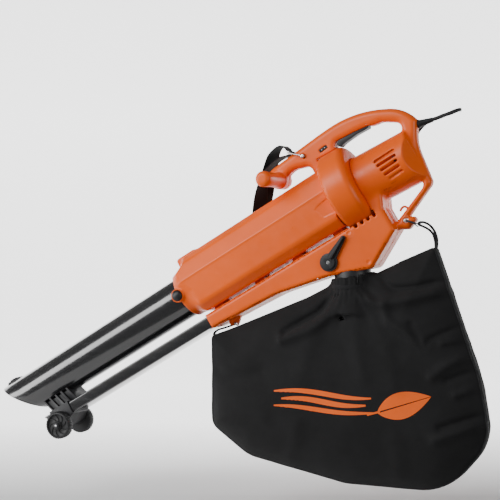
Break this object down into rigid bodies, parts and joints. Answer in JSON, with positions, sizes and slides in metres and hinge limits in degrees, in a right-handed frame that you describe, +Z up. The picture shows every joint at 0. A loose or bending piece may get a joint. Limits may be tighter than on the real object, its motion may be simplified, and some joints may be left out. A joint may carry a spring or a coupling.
{
  "type": "leaf blower",
  "caption": "Electric garden blower and vacuum with suction tube, flat blow tube on wheels, looped rear handle, side grip and hanging collection bag.",
  "frame": {"origin": "centre of the rear grip, which the hand holds", "axes": "+Z up as the machine is held, -X towards the nozzle, Y = 0 the machine's middle plane, its left side at -Y"},
  "size_m": [1.206, 0.2137, 0.8184],
  "materials": {
    "orange_plastic": "semi-gloss moulded orange plastic, fine grain",
    "black_gloss": "glossy black moulded tube",
    "black_plastic": "satin black moulded plastic",
    "black_fabric": "matt black woven polyester",
    "webbing": "black ribbed polyester webbing",
    "elastic": "black elastic band",
    "steel": "zinc-plated steel",
    "lamination": "stacked electrical steel",
    "copper": "enamelled copper",
    "carbon": "carbon brush",
    "foam": "closed-cell foam",
    "rubber": "black cord rubber",
    "wire": "insulated hook-up wire"
  },
  "bodies": {
    "body": {"lower_suction_tube": "black_gloss", "upper_suction_tube": "orange_plastic", "blow_tube": "black_gloss", "wheel_bracket": "black_plastic", "wheel_axle": "steel", "axle_caps": "steel", "fan_housing": "orange_plastic", "housing_left": "orange_plastic", "housing_right": "orange_plastic", "housing_screws": "steel", "front_grip": "orange_plastic", "grip_screw": "steel", "trigger_pin": "steel", "power_switch": "black_plastic", "dial_window": "black_plastic", "outlet_collar": "black_plastic", "collection_bag": "black_fabric", "bag_neck_band": "elastic", "front_bag_strap": "webbing", "rear_bag_strap": "webbing", "bag_clips": "black_plastic", "stator_core": "lamination", "field_windings": "copper", "front_bearing": "steel", "rear_bearing": "steel", "brush_holders": "copper", "carbon_brushes": "carbon", "motor_plate": "black_plastic", "rear_motor_mount": "black_plastic", "tube_seal": "foam", "wiring": "wire", "cord_hook": "orange_plastic", "strap_hook": "steel", "shoulder_strap": "webbing", "strap_slider": "black_plastic", "strain_relief": "rubber", "cord_clamp": "black_plastic", "mains_cord": "rubber", "mains_plug": "rubber"},
    "rotor": {"rotor_shaft": "steel", "armature": "lamination", "commutator": "copper", "impeller": "black_plastic", "impeller_nut": "steel"},
    "trigger": {"trigger": "black_plastic"},
    "speed_dial": {"speed_dial": "black_plastic"},
    "selector": {"selector_lever": "black_plastic", "lever_screw": "steel", "diverter_shaft": "black_plastic", "diverter_flap": "black_plastic"},
    "wheel_left": {"wheel_left": "black_plastic"},
    "wheel_right": {"wheel_right": "black_plastic"},
    "lock_button_left": {"lock_button_left": "black_plastic"},
    "lock_button_right": {"lock_button_right": "black_plastic"}
  },
  "joints": [
    {"name": "rotor_spin", "type": "hinge", "parent": "body", "child": "rotor", "pos_m": [-0.058, 0, -0.152], "axis": [0.891, 0, 0.454], "continuous": true},
    {"name": "trigger_squeeze", "type": "hinge", "parent": "body", "child": "trigger", "pos_m": [-0.016, 0, -0.013], "axis": [0, 1, 0], "range_deg": [0, 6], "stiffness_Nm_per_rad": 2, "springref_deg": -5.73},
    {"name": "speed_dial_turn", "type": "hinge", "parent": "body", "child": "speed_dial", "pos_m": [-0.113, -0.0065, -0.065], "axis": [-0.5592, 0, 0.829], "range_deg": [-135, 135]},
    {"name": "selector_turn", "type": "hinge", "parent": "body", "child": "selector", "pos_m": [-0.09, 0, -0.314], "axis": [0, 1, 0], "range_deg": [0, 70]},
    {"name": "wheel_left_spin", "type": "hinge", "parent": "body", "child": "wheel_left", "pos_m": [-0.77084, -0.049, -0.7113], "axis": [0, 1, 0], "continuous": true},
    {"name": "wheel_right_spin", "type": "hinge", "parent": "body", "child": "wheel_right", "pos_m": [-0.77084, 0.049, -0.7113], "axis": [0, 1, 0], "continuous": true},
    {"name": "lock_left_press", "type": "slide", "parent": "body", "child": "lock_button_left", "axis": [0, 1, 0], "range_m": [0, 0.004], "stiffness_N_per_m": 1500, "springref_m": -0.002},
    {"name": "lock_right_press", "type": "slide", "parent": "body", "child": "lock_button_right", "axis": [0, -1, 0], "range_m": [0, 0.004], "stiffness_N_per_m": 1500, "springref_m": -0.002}
  ]
}
